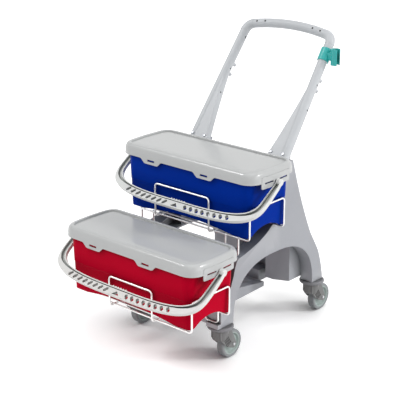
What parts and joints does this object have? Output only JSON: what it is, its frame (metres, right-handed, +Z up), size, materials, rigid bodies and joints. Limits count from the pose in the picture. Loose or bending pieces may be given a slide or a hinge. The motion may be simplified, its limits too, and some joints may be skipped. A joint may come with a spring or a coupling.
{
  "type": "double mop bucket trolley",
  "caption": "Wheeled cleaning trolley with stepped lidded buckets in wire cradles, arched side frames on swivel castors, a leaning push handle and a pole clip.",
  "frame": {"origin": "on the floor, under the middle of the trolley's box", "axes": "+Z up, +Y from the front bucket to the push handle, +X to the right seen from the front"},
  "size_m": [0.638, 0.8992, 1.0087],
  "materials": {
    "frame_grey": "fine satin moulding",
    "handle_grey": "fine satin moulding",
    "screw_grey": "zinc plated",
    "wire_chrome": "bright plated",
    "clip_teal": "satin moulding",
    "fastener_steel": "zinc plated",
    "bucket_red": "semi-gloss moulding",
    "bucket_blue": "semi-gloss moulding",
    "lid_grey": "satin moulding",
    "bail_grey": "satin moulding",
    "castor_grey": "satin moulding",
    "wheel_grey": "satin moulding",
    "tyre_grey": "smooth grey tread"
  },
  "bodies": {
    "trolley_frame": {"side_frame_left": "frame_grey", "side_frame_right": "frame_grey", "front_cross_beam": "frame_grey", "rear_cross_beam": "frame_grey", "keel_beam": "frame_grey", "beam_bolts": "fastener_steel", "push_handle": "handle_grey", "handle_screws": "screw_grey", "lower_cradle": "wire_chrome", "upper_cradle": "wire_chrome", "mop_clip_sleeve": "clip_teal", "mop_clip_jaw": "clip_teal", "mop_clip_screw": "fastener_steel", "front_left_bumper": "frame_grey", "front_right_bumper": "frame_grey", "rear_left_bumper": "frame_grey", "rear_right_bumper": "frame_grey"},
    "front_left_castor": {"front_left_stem": "fastener_steel", "front_left_fork": "castor_grey", "front_left_axle": "fastener_steel"},
    "front_left_roller": {"front_left_wheel": "wheel_grey", "front_left_tyre": "tyre_grey"},
    "front_right_castor": {"front_right_stem": "fastener_steel", "front_right_fork": "castor_grey", "front_right_axle": "fastener_steel"},
    "front_right_roller": {"front_right_wheel": "wheel_grey", "front_right_tyre": "tyre_grey"},
    "rear_left_castor": {"rear_left_stem": "fastener_steel", "rear_left_fork": "castor_grey", "rear_left_axle": "fastener_steel"},
    "rear_left_roller": {"rear_left_wheel": "wheel_grey", "rear_left_tyre": "tyre_grey"},
    "rear_right_castor": {"rear_right_stem": "fastener_steel", "rear_right_fork": "castor_grey", "rear_right_axle": "fastener_steel"},
    "rear_right_roller": {"rear_right_wheel": "wheel_grey", "rear_right_tyre": "tyre_grey"},
    "lower_pail": {"lower_bucket": "bucket_red"},
    "lower_cover": {"lower_lid": "lid_grey"},
    "lower_carrier": {"lower_bail": "bail_grey"},
    "upper_pail": {"upper_bucket": "bucket_blue"},
    "upper_cover": {"upper_lid": "lid_grey"},
    "upper_carrier": {"upper_bail": "bail_grey"}
  },
  "joints": [
    {"name": "front_left_swivel", "type": "hinge", "parent": "trolley_frame", "child": "front_left_castor", "pos_m": [-0.196, -0.169, 0.117], "axis": [0, 0, 1], "continuous": true},
    {"name": "front_left_roll", "type": "hinge", "parent": "front_left_castor", "child": "front_left_roller", "pos_m": [-0.196, -0.125, 0.048], "axis": [1, 0, 0], "continuous": true},
    {"name": "front_right_swivel", "type": "hinge", "parent": "trolley_frame", "child": "front_right_castor", "pos_m": [0.196, -0.169, 0.117], "axis": [0, 0, 1], "continuous": true},
    {"name": "front_right_roll", "type": "hinge", "parent": "front_right_castor", "child": "front_right_roller", "pos_m": [0.196, -0.125, 0.048], "axis": [1, 0, 0], "continuous": true},
    {"name": "rear_left_swivel", "type": "hinge", "parent": "trolley_frame", "child": "rear_left_castor", "pos_m": [-0.196, 0.33, 0.117], "axis": [0, 0, 1], "continuous": true},
    {"name": "rear_left_roll", "type": "hinge", "parent": "rear_left_castor", "child": "rear_left_roller", "pos_m": [-0.196, 0.374, 0.048], "axis": [1, 0, 0], "continuous": true},
    {"name": "rear_right_swivel", "type": "hinge", "parent": "trolley_frame", "child": "rear_right_castor", "pos_m": [0.196, 0.33, 0.117], "axis": [0, 0, 1], "continuous": true},
    {"name": "rear_right_roll", "type": "hinge", "parent": "rear_right_castor", "child": "rear_right_roller", "pos_m": [0.196, 0.374, 0.048], "axis": [1, 0, 0], "continuous": true},
    {"name": "lower_bucket_lift", "type": "slide", "parent": "trolley_frame", "child": "lower_pail", "axis": [0, 0, 1], "range_m": [0, 0.045]},
    {"name": "lower_lid_lift", "type": "slide", "parent": "lower_pail", "child": "lower_cover", "axis": [0, 0, 1], "range_m": [0, 0.045]},
    {"name": "lower_bail_swing", "type": "hinge", "parent": "lower_pail", "child": "lower_carrier", "pos_m": [0, -0.282, 0.374], "axis": [-1, 0, 0], "range_deg": [0, 125]},
    {"name": "upper_bucket_lift", "type": "slide", "parent": "trolley_frame", "child": "upper_pail", "axis": [0, 0, 1], "range_m": [0, 0.2]},
    {"name": "upper_lid_lift", "type": "slide", "parent": "upper_pail", "child": "upper_cover", "axis": [0, 0, 1], "range_m": [0, 0.045]},
    {"name": "upper_bail_swing", "type": "hinge", "parent": "upper_pail", "child": "upper_carrier", "pos_m": [0, -0.008, 0.595], "axis": [-1, 0, 0], "range_deg": [0, 125]}
  ]
}
